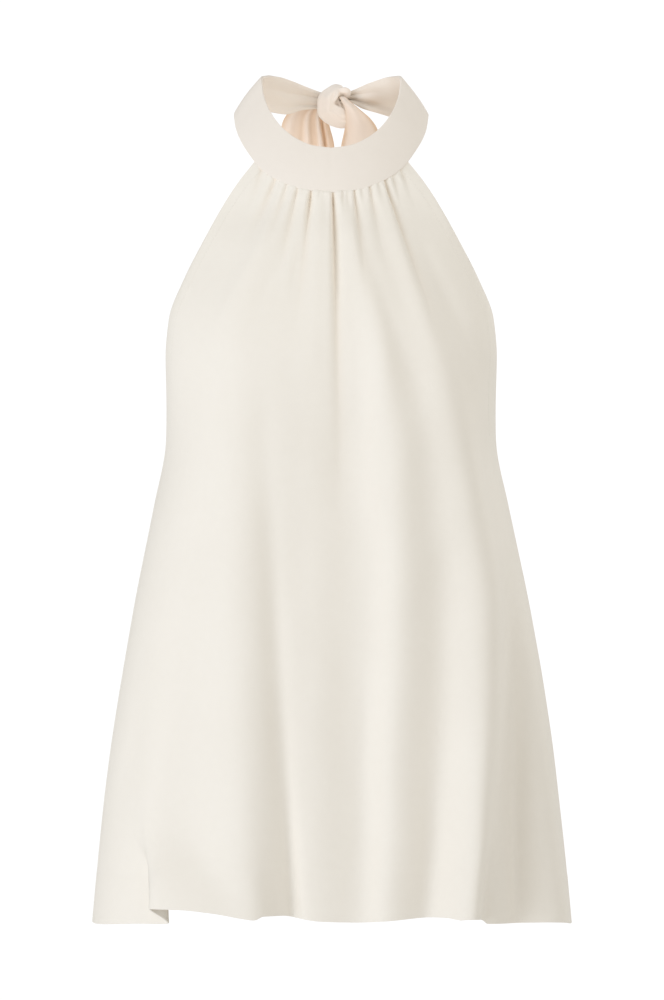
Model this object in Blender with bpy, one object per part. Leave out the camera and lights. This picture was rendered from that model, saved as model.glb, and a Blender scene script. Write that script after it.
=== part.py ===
"""Halter neck top, at its real size.

A wide flared front is gathered onto a tall neck band. The band leans in to the neck, narrows
behind it and is knotted at the nape, and its two ends hang down the open back. The back is a
low flared panel, joined to the front by two side seams that start under the arms.

The front faces -Y, +X is the wearer's left and +Z is up. The origin is the middle of the neck,
level with the nape. Sizes are in millimetres, and MM makes them metres in the meshes.
"""

import math
from collections import namedtuple

import bmesh
import bpy
import numpy as np

MM = 0.001

PANEL_WALL = 1.2
BAND_WALL = 2.4
TIE_WALL = 1.8
SEAM_GAP = 0.3
SEAM_DROP = 0.6

NECK_HALF_WIDTH = 59.0
NECK_FRONT_DEPTH = 58.0
NECK_BACK_DEPTH = 62.0
COLLAR_HALF_WIDTH = 82.0
COLLAR_FRONT_DEPTH = 73.0
SEAM_ANGLE = math.radians(52)

UNDERARM_Z = -285.0
SIDE_TOP_Z = -52.9
SIDE_HEM_Z = -693.0
BACK_DIP = 14.0
ROUNDNESS = 2.8
ARMHOLE_ROWS = 12
SIDE_ROWS = 14
ROLLED_SPAN = (-0.55, -0.325)
ROLLED_COLUMNS = 18

# The neck band at angles round from the centre front, in degrees: the heights of its two edges.
BandStation = namedtuple("BandStation", "angle upper_z lower_z")
BAND = [
    BandStation(0, -41.6, -80.2),
    BandStation(15, -39.4, -77.8),
    BandStation(30, -32.8, -70.6),
    BandStation(45, -22.3, -59.2),
    BandStation(60, -8.6, -44.4),
    BandStation(75, 7.3, -27.1),
    BandStation(90, 24.4, -8.8),
    BandStation(110, 27.0, -4.0),
    BandStation(140, 25.5, -4.6),
    BandStation(160, 19.6, 1.0),
    BandStation(170, 17.6, 3.0),
    BandStation(180, 17.0, 3.6),
]

# The body at heights down its side: half its width, the y of the front panel's side edge, and
# the y of the centre front and of the centre back.
BodySection = namedtuple("BodySection", "z half edge front back")
BODY = [
    BodySection(-53, 64.6, -44.9, -73, 90),
    BodySection(-68, 76.3, -48.5, -73, 90),
    BodySection(-85, 87.5, -52, -76, 90),
    BodySection(-119, 106.1, -60, -97, 90),
    BodySection(-152, 122.8, -60.5, -113, 90),
    BodySection(-185, 135.6, -54, -125, 90),
    BodySection(-218, 138.7, -40, -132, 90),
    BodySection(-251, 138.5, -22, -134, 92),
    BodySection(-285, 139.4, -5, -134.5, 96),
    BodySection(-340, 149.8, 0, -136, 104),
    BodySection(-440, 169.2, 0, -140, 120),
    BodySection(-570, 189.6, 0, -146, 137),
    BodySection(-700, 202.8, 0, -151, 150),
]

# The hem of the front at places across it, before its folds.
HemPoint = namedtuple("HemPoint", "x z")
FRONT_HEM = [
    HemPoint(-203, -693),
    HemPoint(-165, -686),
    HemPoint(-131, -681),
    HemPoint(-116, -673),
    HemPoint(-65, -676),
    HemPoint(0, -678),
    HemPoint(75, -676),
    HemPoint(115, -677),
    HemPoint(132, -681),
    HemPoint(165, -685),
    HemPoint(203, -693),
]

# A long fold at six heights down its panel: where its crest lies, how far it stands out, its
# half width, and how far the crest rolls over sideways. The crest trails its roll by ROLL_LEAD
# of it, which keeps a rolled edge round.
FOLD_LEVELS = (-80, -185, -290, -420, -600, -690)
Fold = namedtuple("Fold", "x rise half roll", defaults=[(0, 0, 0, 0, 0, 0)])
ROLL_LEAD = 0.25
FRONT_FOLDS = [
    Fold(
        (-40, -80, -105, -125, -138, -113), (0, 1, 2, 3, 7, 15),
        (14, 24, 24, 22, 18, 13), (0, 0, 0, 0, -8, -36),
    ),
    Fold(
        (-38, -75, -76, -72, -70, -70), (1, 3, 5, 9, 17, 23),
        (9, 22, 24, 23, 20, 17), (0, 0, 0, 2, 10, 14),
    ),
    Fold((-9, -12, -10, -8, -8, -8), (1, 3, 3, 4, 7, 9), (6, 14, 18, 20, 21, 22)),
    Fold((8, 28, 42, 50, 52, 52), (1, 4, 6, 8, 10, 11), (5, 14, 18, 18, 17, 16)),
    Fold(
        (38, 72, 97, 115, 121, 120), (1, 3, 7, 15, 26, 28),
        (7, 18, 19, 18, 18, 18), (0, 0, 0, 3, 10, 10),
    ),
    Fold((70, 125, 142, 156, 176, 180), (0, 0, 0, 5, 14, 15), (12, 14, 14, 13, 14, 15)),
]
BACK_FOLDS = [
    Fold((-95, -95, -97, -113, -128, -135), (0, 0, 1, 7, 12, 14), (25, 25, 25, 24, 24, 24)),
    Fold((-50, -50, -51, -59, -66, -70), (0, 0, 1, 8, 13, 15), (22, 22, 22, 22, 22, 22)),
    Fold((4, 4, 4, 2, -2, -4), (0, 0, 1, 9, 14, 16), (22, 22, 22, 23, 24, 24)),
    Fold((55, 55, 56, 60, 64, 66), (0, 0, 1, 7, 11, 13), (22, 22, 22, 22, 21, 21)),
    Fold((98, 98, 100, 118, 132, 138), (0, 0, 1, 8, 13, 15), (24, 24, 24, 24, 25, 25)),
]

# The gathers under the band: each is a crease that starts in the seam at x and dies out at
# (end_x, end_z), with its one side steep and the other GATHER_LEAN times as wide.
Gather = namedtuple("Gather", "x end_x end_z depth")
GATHERS = [
    Gather(-59.0, -63.0, -82, 1.0),
    Gather(-47.6, -67.5, -104, 1.8),
    Gather(-37.3, -52.0, -112, 2.0),
    Gather(-28.5, -44.5, -138, 2.2),
    Gather(-17.4, -29.5, -185, 3.4),
    Gather(1.2, 6.3, -340, 4.0),
    Gather(9.5, 10.5, -98, 1.2),
    Gather(19.0, 27.5, -158, 2.6),
    Gather(25.0, 28.0, -96, 1.0),
    Gather(31.8, 41.5, -124, 1.9),
    Gather(44.6, 89.0, -195, 3.6),
    Gather(51.0, 60.0, -92, 1.6),
    Gather(58.0, 64.0, -80, 1.0),
]
GATHER_HALF = 2.4
GATHER_SPREAD = 5.0
GATHER_LEAN = 2.2

# A tie end at heights below the knot: its middle, its half width and the depth of its pleats.
TieStation = namedtuple("TieStation", "z x y half pleat")
TIE_LEFT = [
    TieStation(0, -5, 63.5, 4.2, 0.05),
    TieStation(-8, -11, 65, 9, 0.7),
    TieStation(-18, -20, 69, 18, 2.0),
    TieStation(-38, -23.5, 72, 23.5, 2.2),
    TieStation(-90, -25, 80, 25, 1.6),
    TieStation(-165, -25.5, 88, 25, 1.2),
    TieStation(-246, -27, 93, 25, 0.9),
]
TIE_RIGHT = [
    TieStation(7, 8.5, 55, 3.5, 0.1),
    TieStation(-4, 14.5, 51, 5.5, 0.3),
    TieStation(-20, 24.5, 55, 11.5, 1.2),
    TieStation(-38, 26.5, 61, 18, 1.8),
    TieStation(-90, 27, 77, 23, 1.6),
    TieStation(-165, 27, 87, 24, 1.2),
    TieStation(-262, 24.5, 93.5, 24, 0.9),
]
TIE_PLEATS = 3

# The knot: each lobe is a soft roll of cloth through points, with its radius at each.
KNOT_LOBES = {
    "core": [(-4, 61, 0, 9), (1, 61, 5, 10), (6, 61, 6, 9.5)],
    "wrap": [(-8, 58, -6, 5.5), (-7, 54, 3, 6.5), (-1, 51, 10, 7), (4, 54, 16, 6)],
    "lower": [(-5, 57, -7, 6), (1, 54, -9, 6.5), (8, 56, -9, 6)],
    "loop": [(5, 54, 15, 4.5), (10, 54, 15, 4.5), (11, 57, 11, 5)],
    "outer": [(-8, 66, -1, 6), (-2, 70, 6, 7.5), (5, 70, 8, 7.5), (9, 67, 4, 7)],
}
KNOT_VOXEL = 3.0


def smooth(table_x, table_y, at):
    """A curve through the table's points that never overshoots them, and stays flat past its ends."""
    order = np.argsort(table_x)
    xs, ys = np.asarray(table_x, float)[order], np.asarray(table_y, float)[order]
    at = np.clip(at, xs[0], xs[-1])
    run = np.diff(xs)
    chord = np.diff(ys) / run
    before, after = chord[:-1], chord[1:]
    same = before * after > 0
    middle = np.where(same, 2 * before * after / np.where(same, before + after, 1), 0)
    slope = np.concatenate([chord[:1], middle, chord[-1:]])
    i = np.clip(np.searchsorted(xs, at) - 1, 0, len(run) - 1)
    u = (at - xs[i]) / run[i]
    return (
        ys[i] * (2 * u**3 - 3 * u**2 + 1)
        + ys[i + 1] * (3 * u**2 - 2 * u**3)
        + run[i] * slope[i] * (u**3 - 2 * u**2 + u)
        + run[i] * slope[i + 1] * (u**3 - u**2)
    )


def column(table, place, value, at):
    """One column of a table, read between its rows."""
    return smooth([getattr(row, place) for row in table], [getattr(row, value) for row in table], at)


def ramp(value, start, end):
    """0 at start, 1 at end, with soft ends."""
    u = np.clip((value - start) / (end - start), 0, 1)
    return u * u * (3 - 2 * u)


def normals(points):
    """Unit normals of a grid of points, on the side that faces away from the wearer."""
    out = np.cross(np.gradient(points, axis=0), np.gradient(points, axis=1))
    return out / np.maximum(np.linalg.norm(out, axis=-1, keepdims=True), 1e-9)


def folded(base, folds, extra_lift, keep):
    """A panel with its long folds: each crest stands out from it and may roll over sideways."""
    x, z = base[..., 0], base[..., 2]
    lift, roll = extra_lift, np.zeros_like(x)
    for fold in folds:
        off = x - smooth(FOLD_LEVELS, fold.x, z)
        half = smooth(FOLD_LEVELS, fold.half, z)
        fold_roll = smooth(FOLD_LEVELS, fold.roll, z)
        roll = roll + fold_roll * np.exp(-((off / half) ** 2))
        off = off + ROLL_LEAD * fold_roll
        lift = lift + smooth(FOLD_LEVELS, fold.rise, z) * np.exp(-((off / half) ** 2))
    points = base + normals(base) * (lift * keep)[..., None]
    points[..., 0] += roll * keep
    return points


def gather_offsets(x, z):
    """How far the gathers press each point of the front in, with the cloth puffed up beside them."""
    lift = np.zeros_like(x)
    for gather in GATHERS:
        start_z = band_lower_z(math.asin(gather.x / COLLAR_HALF_WIDTH))
        u = np.clip((z - start_z) / (gather.end_z - start_z), 0, 1)
        off = (x - (gather.x + (gather.end_x - gather.x) * u)) / (GATHER_HALF + GATHER_SPREAD * u)
        off = np.where(off > 0, off / GATHER_LEAN, off)
        crease = 0.5 * np.exp(-((off / 2) ** 2)) - np.exp(-(off**2))
        lift += gather.depth * crease * (1 - u) ** 1.3
    return lift


def band_lower_z(angle):
    return column(BAND, "angle", "lower_z", np.degrees(np.abs(angle)))


def band_sheet(columns, rows):
    """The neck band's middle surface, from one side of the knot round the front to the other."""
    left_end = math.pi - math.asin(11.0 / NECK_HALF_WIDTH)
    right_end = math.pi - math.asin(16.0 / NECK_HALF_WIDTH)
    angle = np.linspace(-left_end, right_end, columns + 1)[None, :]
    down = np.linspace(0, 1, rows + 1)[:, None]
    turn = np.degrees(np.abs(angle))
    behind = ramp(turn, 90, 180)
    half = NECK_HALF_WIDTH + (COLLAR_HALF_WIDTH - NECK_HALF_WIDTH) * down * (1 - behind)
    front = NECK_FRONT_DEPTH + (COLLAR_FRONT_DEPTH - NECK_FRONT_DEPTH) * down
    depth = np.where(np.cos(angle) > 0, front, NECK_BACK_DEPTH)
    upper = column(BAND, "angle", "upper_z", turn)
    lower = column(BAND, "angle", "lower_z", turn)
    pleats = 1.4 * ramp(turn, 125, 170) * np.sin(2 * math.pi * 1.5 * down)
    bulge = 1.5 * np.sin(math.pi * down) + pleats
    x = (half + bulge) * np.sin(angle)
    y = -(depth + bulge) * np.cos(angle)
    z = upper + (lower - upper) * down
    return np.stack(np.broadcast_arrays(x, y, z), axis=-1)


def seam_share(rows):
    """How far down the side seam each row lies, from 0 to 1, closer together near the hem."""
    return 1 - np.linspace(1, 0, rows + 1) ** 1.5


def front_sheet(columns, armhole_rows, side_rows):
    """The front panel's middle surface, from the band seam down to the hem, with its folds.

    Its columns lie closer together where the hem's fold rolls over onto itself.
    """
    extra = np.linspace(*ROLLED_SPAN, ROLLED_COLUMNS + 1)
    s = np.unique(np.round(np.append(np.linspace(-1, 1, columns + 1), extra), 6))[None, :]
    fall = np.linspace(0, 1, armhole_rows + 1)[:-1] ** 1.4
    armhole = SIDE_TOP_Z + (UNDERARM_Z - SIDE_TOP_Z) * fall
    seam = UNDERARM_Z + (SIDE_HEM_Z - UNDERARM_Z) * seam_share(side_rows)
    side_z = np.concatenate([armhole, seam])[:, None]
    t = (SIDE_TOP_Z - side_z) / (SIDE_TOP_Z - SIDE_HEM_Z)
    full = ramp(side_z, SIDE_TOP_Z, UNDERARM_Z)
    sweep = SEAM_ANGLE + (math.pi / 2 - SEAM_ANGLE) * full
    share = np.sin(sweep * s) / np.sin(sweep)
    x = share * column(BODY, "z", "half", side_z)
    seam_z = band_lower_z(SEAM_ANGLE * s) - SEAM_DROP
    hem_z = column(FRONT_HEM, "x", "z", share * column(BODY, "z", "half", SIDE_HEM_Z))
    z = seam_z + (hem_z - seam_z) * t
    ring = (1 - np.sqrt(1 - (share * math.sin(SEAM_ANGLE)) ** 2)) / (1 - math.cos(SEAM_ANGLE))
    tube = 1 - np.clip(1 - np.abs(share) ** ROUNDNESS, 0, 1) ** (1 / ROUNDNESS)
    front = column(BODY, "z", "front", z)
    edge = column(BODY, "z", "edge", side_z) - SEAM_GAP / 2
    y = front + (edge - front) * (ring + (tube - ring) * full)
    at_seam = 0.3 + 0.7 * ramp(t, 0, 0.02)
    keep = (1 - np.abs(s) ** 8) * at_seam
    return folded(np.stack([x, y, z], axis=-1), FRONT_FOLDS, gather_offsets(x, z), keep)


def back_sheet(columns, side_rows):
    """The back panel's middle surface, from its top edge down to the hem, with its folds."""
    s = np.linspace(1, -1, columns + 1)[None, :]
    t = seam_share(side_rows)[:, None]
    share = np.sin(s * math.pi / 2)
    top_z = UNDERARM_Z - BACK_DIP * (1 - share**2)
    z = top_z + (SIDE_HEM_Z - top_z) * t
    x = share * column(BODY, "z", "half", z)
    tube = np.clip(1 - np.abs(share) ** ROUNDNESS, 0, 1) ** (1 / ROUNDNESS)
    edge = column(BODY, "z", "edge", z) + SEAM_GAP / 2
    y = edge + (column(BODY, "z", "back", z) - edge) * tube
    keep = 1 - np.abs(s) ** 8
    return folded(np.stack([x, y, z], axis=-1), BACK_FOLDS, np.zeros_like(x), keep)


def tie_sheet(stations, columns, rows):
    """A tie end's middle surface, pleated together at the knot and opening out as it hangs."""
    u = np.linspace(-1, 1, columns + 1)[None, :]
    t = (np.linspace(0, 1, rows + 1) ** 1.5)[:, None]
    z = stations[0].z + (stations[-1].z - stations[0].z) * t
    pleat = column(stations, "z", "pleat", z) * np.cos(TIE_PLEATS * math.pi * u)
    x = column(stations, "z", "x", z) + column(stations, "z", "half", z) * u
    y = column(stations, "z", "y", z) + pleat
    return np.stack(np.broadcast_arrays(x, y, z), axis=-1)


def grown(points, margin):
    """The same sheet with all four of its borders pulled out by a margin."""
    pulled = points.copy()
    for side in (pulled, pulled.swapaxes(0, 1)):
        for end, inner in ((0, 1), (-1, -2)):
            along = side[end] - side[inner]
            side[end] += along / np.linalg.norm(along, axis=-1, keepdims=True) * margin
    return pulled


def cloth(name, colour, roughness):
    material = bpy.data.materials.new(name)
    material.use_nodes = True
    shader = material.node_tree.nodes["Principled BSDF"]
    shader.inputs["Base Color"].default_value = (*colour, 1)
    shader.inputs["Roughness"].default_value = roughness
    shader.inputs["Metallic"].default_value = 0
    return material


def add_object(name, build, material):
    mesh = bpy.data.meshes.new(name)
    build.to_mesh(mesh)
    build.free()
    mesh.materials.append(material)
    mesh.shade_smooth()
    made = bpy.data.objects.new(name, mesh)
    bpy.context.scene.collection.objects.link(made)
    return made


def sheet_object(name, points, wall, material):
    """A sheet of cloth through a grid of points, with its wall half to each side of them."""
    build = bmesh.new()
    grid = [[build.verts.new(point) for point in row] for row in points * MM]
    for upper, lower in zip(grid, grid[1:]):
        for c in range(len(upper) - 1):
            build.faces.new((upper[c], lower[c], lower[c + 1], upper[c + 1]))
    made = add_object(name, build, material)
    solidify = made.modifiers.new("Wall", "SOLIDIFY")
    solidify.thickness = wall * MM
    solidify.offset = 0
    return made


def knot_object(name, material, cutters):
    """The knot: rolls of cloth fused into one body, with a socket for each sheet that enters it."""
    build = bmesh.new()
    for lobe in KNOT_LOBES.values():
        balls = np.linspace(0, len(lobe) - 1, 6 * len(lobe))
        for ball in balls:
            x, y, z, radius = (smooth(range(len(lobe)), values, ball) for values in zip(*lobe))
            made = bmesh.ops.create_icosphere(build, subdivisions=3, radius=radius * MM)
            bmesh.ops.translate(build, verts=made["verts"], vec=(x * MM, y * MM, z * MM))
    knot = add_object(name, build, material)
    remesh = knot.modifiers.new("Fuse", "REMESH")
    remesh.mode = "VOXEL"
    remesh.voxel_size = KNOT_VOXEL * MM
    soften = knot.modifiers.new("Soften", "SMOOTH")
    soften.factor = 0.5
    soften.iterations = 3
    for cutter in cutters:
        socket = knot.modifiers.new("Socket", "BOOLEAN")
        socket.operation = "DIFFERENCE"
        socket.object = cutter
    return knot


def cutter_object(points, wall, material):
    """The room that a sheet takes in the knot, with the seam gap all round it."""
    cutter = sheet_object("cutter", grown(points, 2 * SEAM_GAP), wall + 3 * SEAM_GAP, material)
    cutter.hide_render = True
    cutter.display_type = "WIRE"
    return cutter


def main():
    for old in list(bpy.data.objects):
        bpy.data.objects.remove(old)
    body_cloth = cloth("Ivory crepe", (0.79, 0.74, 0.66), 0.75)
    band_cloth = cloth("Ivory crepe, doubled", (0.78, 0.72, 0.64), 0.72)
    knot_cloth = cloth("Ivory crepe, knotted", (0.77, 0.70, 0.61), 0.74)
    tie_cloth = cloth("Ivory crepe, tie ends", (0.77, 0.69, 0.60), 0.75)

    front = front_sheet(80, ARMHOLE_ROWS, SIDE_ROWS)
    sheet_object("front_panel", front, PANEL_WALL, body_cloth)
    sheet_object("back_panel", back_sheet(36, SIDE_ROWS), PANEL_WALL, body_cloth)

    band = band_sheet(columns=60, rows=6)
    left = tie_sheet(TIE_LEFT, columns=12, rows=18)
    right = tie_sheet(TIE_RIGHT, columns=12, rows=18)
    sheet_object("neck_band", band, BAND_WALL, band_cloth)
    sheet_object("tie_end_left", left, TIE_WALL, tie_cloth)
    sheet_object("tie_end_right", right, TIE_WALL, tie_cloth)
    knot_object(
        "tie_knot",
        knot_cloth,
        [
            cutter_object(band, BAND_WALL, band_cloth),
            cutter_object(left, TIE_WALL, tie_cloth),
            cutter_object(right, TIE_WALL, tie_cloth),
        ],
    )


if __name__ == "__main__":
    main()
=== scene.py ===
"""Halter neck top in ivory crepe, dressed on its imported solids.

A wide flared front is gathered into a doubled neck band. The band is knotted at the nape and its
ends hang down the open back, above a low back panel. Every sheet is laid on the form of its
solid. The front faces -Y and +Z is up. Left and right are as seen from the front, with +X on the
right. Sizes are in millimetres, and MM makes them metres in the meshes.
"""

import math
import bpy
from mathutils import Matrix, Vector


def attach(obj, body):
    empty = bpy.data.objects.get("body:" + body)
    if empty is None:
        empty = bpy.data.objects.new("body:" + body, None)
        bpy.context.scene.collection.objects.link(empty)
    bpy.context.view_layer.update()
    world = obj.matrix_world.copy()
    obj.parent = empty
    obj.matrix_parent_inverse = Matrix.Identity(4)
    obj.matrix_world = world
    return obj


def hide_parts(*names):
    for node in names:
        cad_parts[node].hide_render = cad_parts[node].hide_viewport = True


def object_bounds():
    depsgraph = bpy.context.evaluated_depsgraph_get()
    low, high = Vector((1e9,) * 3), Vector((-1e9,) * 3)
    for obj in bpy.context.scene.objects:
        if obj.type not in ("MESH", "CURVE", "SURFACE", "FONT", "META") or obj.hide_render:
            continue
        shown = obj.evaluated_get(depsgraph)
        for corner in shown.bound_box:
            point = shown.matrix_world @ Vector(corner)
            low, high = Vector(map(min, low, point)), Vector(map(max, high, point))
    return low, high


bl_info = {
    "name": "Halter Neck Top",
    "version": (1, 0, 0),
    "blender": (4, 5, 0),
    "location": "3D View > Sidebar > Halter Top",
    "description": "Lays crepe on the solids of a gathered halter neck top and sets up its studio",
    "category": "Object",
}

from collections import namedtuple

import bpy
import numpy as np
from mathutils import Vector

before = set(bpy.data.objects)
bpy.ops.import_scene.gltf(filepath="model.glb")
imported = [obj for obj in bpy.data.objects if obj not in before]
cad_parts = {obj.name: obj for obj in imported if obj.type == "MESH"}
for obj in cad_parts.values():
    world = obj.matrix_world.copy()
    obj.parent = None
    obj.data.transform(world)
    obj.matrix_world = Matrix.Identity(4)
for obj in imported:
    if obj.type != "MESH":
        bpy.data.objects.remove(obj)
CAD_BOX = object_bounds()

MM = 0.001

# The rings of the neck band's upper edge and, where the front hangs from it, of its lower one.
NECK_HALF_WIDTH = 59.0
NECK_FRONT_DEPTH = 58.0
NECK_BACK_DEPTH = 62.0
COLLAR_HALF_WIDTH = 82.0
COLLAR_FRONT_DEPTH = 73.0

# How near the middle of the knot the band ends, how far it bulges between its edges, how far
# round the front is sewn to it, and what share of the band covers the front's tucked edge.
BAND_END_X = 3.0
BAND_BULGE = 1.5
SEAM_ANGLE = math.radians(52)
SEAM_TUCK = 0.06

# Where the armhole starts at the band, where it ends at the side seam and where that seam ends,
# how far the back's top edge dips, and how square the body is: 2 is an ellipse.
SIDE_TOP_Z = -52.9
UNDERARM_Z = -285.0
SIDE_HEM_Z = -691.0
BACK_DIP = 14.0
ROUNDNESS = 2.8

# The gap at a side seam, how far the front starts below the band's edge, how much the seam there
# flattens the folds, and how near to a panel's sides they reach.
SEAM_GAP = 0.3
SEAM_DROP = 0.6
SEAM_HOLD = 0.4
EDGE_HOLD = 8


def table(kind, *rows):
    """The rows of a table, each of one kind."""
    return [kind(*row) for row in rows]


# The neck band at angles round from the centre front, in degrees: the heights of its two edges.
# Its halves differ only at the back, where each is bunched into the knot.
BandStation = namedtuple("BandStation", "angle upper_z lower_z")
FRONT_BAND = table(
    BandStation,
    (0, -41.6, -80.2), (15, -39.4, -77.8), (30, -32.8, -70.6), (45, -22.3, -59.2), (60, -8.6, -42),
    (75, 6.6, -25.2), (90, 22.8, -8.8),
)
LEFT_BAND = FRONT_BAND + table(
    BandStation,
    (110, 26.6, -1.2), (120, 27.9, 0.4), (131, 27.9, -1.8), (144, 25.7, -3.4), (156, 22, 0.8),
    (169, 17.6, 2.4), (180, 14, 3),
)
RIGHT_BAND = FRONT_BAND + table(
    BandStation,
    (110, 26.6, -9.6), (125, 27.3, -8.6), (145, 24.2, -1.6), (155, 21, 2.4), (165, 17.2, 8),
    (180, 14, 7),
)

# The pleats that run along the back of the band into the knot: how far down the band each lies,
# half its width as a share of the band, and how far it stands out or, under 0, in.
BandPleat = namedtuple("BandPleat", "share half depth")
LEFT_PLEATS = table(
    BandPleat,
    (0.12, 0.08, -0.9), (0.36, 0.06, 1.6), (0.56, 0.10, -0.8), (0.78, 0.05, 1.1),
    (0.92, 0.06, -0.7),
)
RIGHT_PLEATS = table(
    BandPleat,
    (0.15, 0.07, -0.7), (0.32, 0.05, 0.9), (0.46, 0.08, -0.7), (0.70, 0.13, 3.8),
    (0.90, 0.07, -1.6),
)

# A crease painted as shade on the inside of the band, right of the knot: its angle, how far round
# it reaches, how far down the band it lies and half its width as a share of the band.
PaintedBandCrease = namedtuple("PaintedBandCrease", "angle reach share half")
PAINTED_INNER_CREASE = PaintedBandCrease(149.6, 6.9, 0.70, 0.12)

# What a cloth's colour is multiplied by where shade is painted deep in its folds and inside the
# neck, and in the duller parts of its weave.
WARM_SHADOW = (0.85, 0.72, 0.58)
DEEP_SHADOW = (0.69, 0.63, 0.56)
DULL_THREADS = (0.94, 0.93, 0.915)

# The body at heights down its side: half its width, the y of the front panel's side edge, and
# the y of the centre front and of the centre back.
BodySection = namedtuple("BodySection", "z half edge front back")
BODY = table(
    BodySection,
    (-53, 64.6, -44.9, -73, 90), (-68, 76.3, -48.5, -73, 90), (-85, 87.5, -52, -76, 90),
    (-119, 106.1, -60, -97, 90), (-152, 122.8, -60.5, -113, 90), (-185, 135.6, -54, -125, 90),
    (-218, 138.7, -40, -132, 90), (-251, 138.5, -22, -134, 92), (-285, 139.4, -5, -134.5, 96),
    (-340, 149.8, 0, -136, 104), (-440, 169.2, 0, -140, 120), (-570, 189.6, 0, -146, 137),
    (-700, 202.8, 0, -151, 150),
)

# The hem of the front at places across it, before its folds.
HemPoint = namedtuple("HemPoint", "x z")
FRONT_HEM = table(
    HemPoint,
    (-203, -691), (-180, -686.5), (-160, -684), (-134, -682.5), (-128, -681.2), (-112, -669.3),
    (-103, -669.3), (-96, -671.3), (-84, -675.3), (-73, -677), (-65, -674), (-42, -674),
    (-28, -676), (-10, -678.5), (20, -679.5), (50, -678), (82, -675.3), (89.5, -675.6),
    (92, -677.2), (97, -676.6), (110, -677.3), (121, -679.2), (124.5, -681.9), (140, -682.6),
    (165, -683.5), (203, -691),
)

# A long fold at seven heights down its panel: where its crest lies, how far it stands out, its
# half width, and how far the crest rolls over sideways.
FOLD_LEVELS = (-80, -185, -290, -420, -600, -665, -690)
Fold = namedtuple("Fold", "x rise half roll", defaults=[(0, 0, 0, 0, 0, 0, 0)])
ROLL_LEAD = 0.25
FRONT_FOLDS = table(
    Fold,
    ((-40, -80, -105, -125, -138, -112, -110.4), (0, 1, 2, 3, 4.5, 9, 12),
     (14, 24, 24, 22, 19, 12.8, 12.5), (0, 0, 0, 0, -6, -34, -36)),
    ((-38, -75, -80, -77, -77, -75, -73), (1, 3, 5, 9, 16, 20, 21), (9, 22, 25, 27, 28, 26, 25),
     (0, 0, 0, 2, 8, 12.5, 14)),
    ((-9, -12, -10, -8, -8, -8, -8), (1, 2, 2, 4, 5, 4.5, 4.5), (6, 14, 16, 20, 21, 22, 22)),
    ((8, 34, 55, 60, 57, 53, 52), (1, 6, 10, 11, 12, 13, 13), (5, 13, 18, 20, 21, 20, 20),
     (0, 0, -3, -5, -7, -7, -7)),
    ((38, 76, 101, 117, 111, 103, 100), (1, 5, 11, 17, 27, 29, 29), (7, 15, 19, 18, 16, 15, 15),
     (0, 0, 0, 0, 3, 8, 10)),
    ((70, 125, 146, 159, 174, 178, 179), (0, 0, 0, 4, 11, 15, 17), (12, 14, 14, 14, 15, 16, 16)),
)
BACK_FOLDS = table(
    Fold,
    ((-95, -95, -97, -113, -128, -133, -135), (0, 0, 1, 7, 12, 13.5, 14),
     (25, 25, 25, 24, 24, 24, 24)),
    ((-50, -50, -51, -59, -66, -69, -70), (0, 0, 1, 8, 13, 14.5, 15),
     (22, 22, 22, 22, 22, 22, 22)),
    ((4, 4, 4, 2, -2, -3.5, -4), (0, 0, 1, 9, 14, 15.5, 16), (22, 22, 22, 23, 24, 24, 24)),
    ((55, 55, 56, 60, 64, 65.5, 66), (0, 0, 1, 7, 11, 12.5, 13), (22, 22, 22, 22, 21, 21, 21)),
    ((98, 98, 100, 118, 132, 136.5, 138), (0, 0, 1, 8, 13, 14.5, 15),
     (24, 24, 24, 24, 25, 25, 25)),
)

# The gathers under the band: each is a crease that starts in the seam at x and dies out at
# (end_x, end_z), half wide at the seam, with one side steep and the other GATHER_LEAN as wide.
Gather = namedtuple("Gather", "x end_x end_z depth half")
GATHERS = table(
    Gather,
    (-59, -72, -110, 4, 2.4), (-52.8, -60, -92, 1.8, 1.3), (-47.6, -70.5, -128, 5.6, 2.2),
    (-42, -49, -96, 2, 1.2), (-37.3, -54, -136, 6, 1.8), (-32.5, -38, -96, 1.8, 1.1),
    (-28.5, -45.5, -160, 6.4, 1.5), (-22.8, -28, -104, 2.4, 1.2), (-17.4, -29.5, -200, 8, 1.6),
    (-9, -12, -100, 1.6, 1.3), (1.2, 8.5, -370, 7.6, 1.6), (9.5, 11.5, -112, 3.4, 1.3),
    (14.2, 18, -100, 1.8, 1.1), (19, 31.5, -190, 5.8, 1.4), (25, 29.5, -104, 2.6, 1.2),
    (31.8, 45.5, -146, 5, 1.4), (38.5, 46, -100, 2.2, 1.2), (44.6, 93, -222, 7.2, 1.5),
    (51, 66, -116, 4.6, 1.4), (58, 75, -104, 3.4, 1.3),
)
GATHER_SPREAD = 6.0
# The depth of gather at which the shade painted in its crease is full.
DEEPEST_GATHER = 5.5
GATHER_LEAN = 2.2

# The small puckers between the gathers: each is moved aside by up to PUCKER_SHIFT, fans out as
# it falls, and grows wider by PUCKER_SPREAD.
PUCKER_STEP = 3.7
PUCKER_SHIFT = 1.2
PUCKER_HALF = 0.9
PUCKER_SPREAD = 1.6
PUCKER_FAN = 0.16
PUCKER_LENGTHS = (7, 20)
PUCKER_DEPTHS = (0.3, 0.85)
PUCKER_SEED = 4

# The slow waves of the panels, and their height as a share of their length.
WAVE_LENGTHS = (150, 95, 60, 38)
WAVE_HEIGHT = 0.0035

# Where a turned-up hem ends inside, the cloth outside has a slight ridge, and is fuller below it.
HEM_RIDGE = 0.35
HEM_RIDGE_HALF = 1.8
HEM_FULLNESS = 0.3

# How near a folded edge comes to a knife edge, which is 1, and how much thinner the cloth lies in
# the knot than at the end of its reach from the knot's middle.
FOLDED_EDGE = 0.9999
DRAWN_THINNER = 0.6
DRAWN_REACH = (15, 45)

# How round a cut edge is, and how near two points of a closed sheet are to be one.
EDGE_ROUND = 0.22
JOIN_DISTANCE = 0.001

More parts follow.
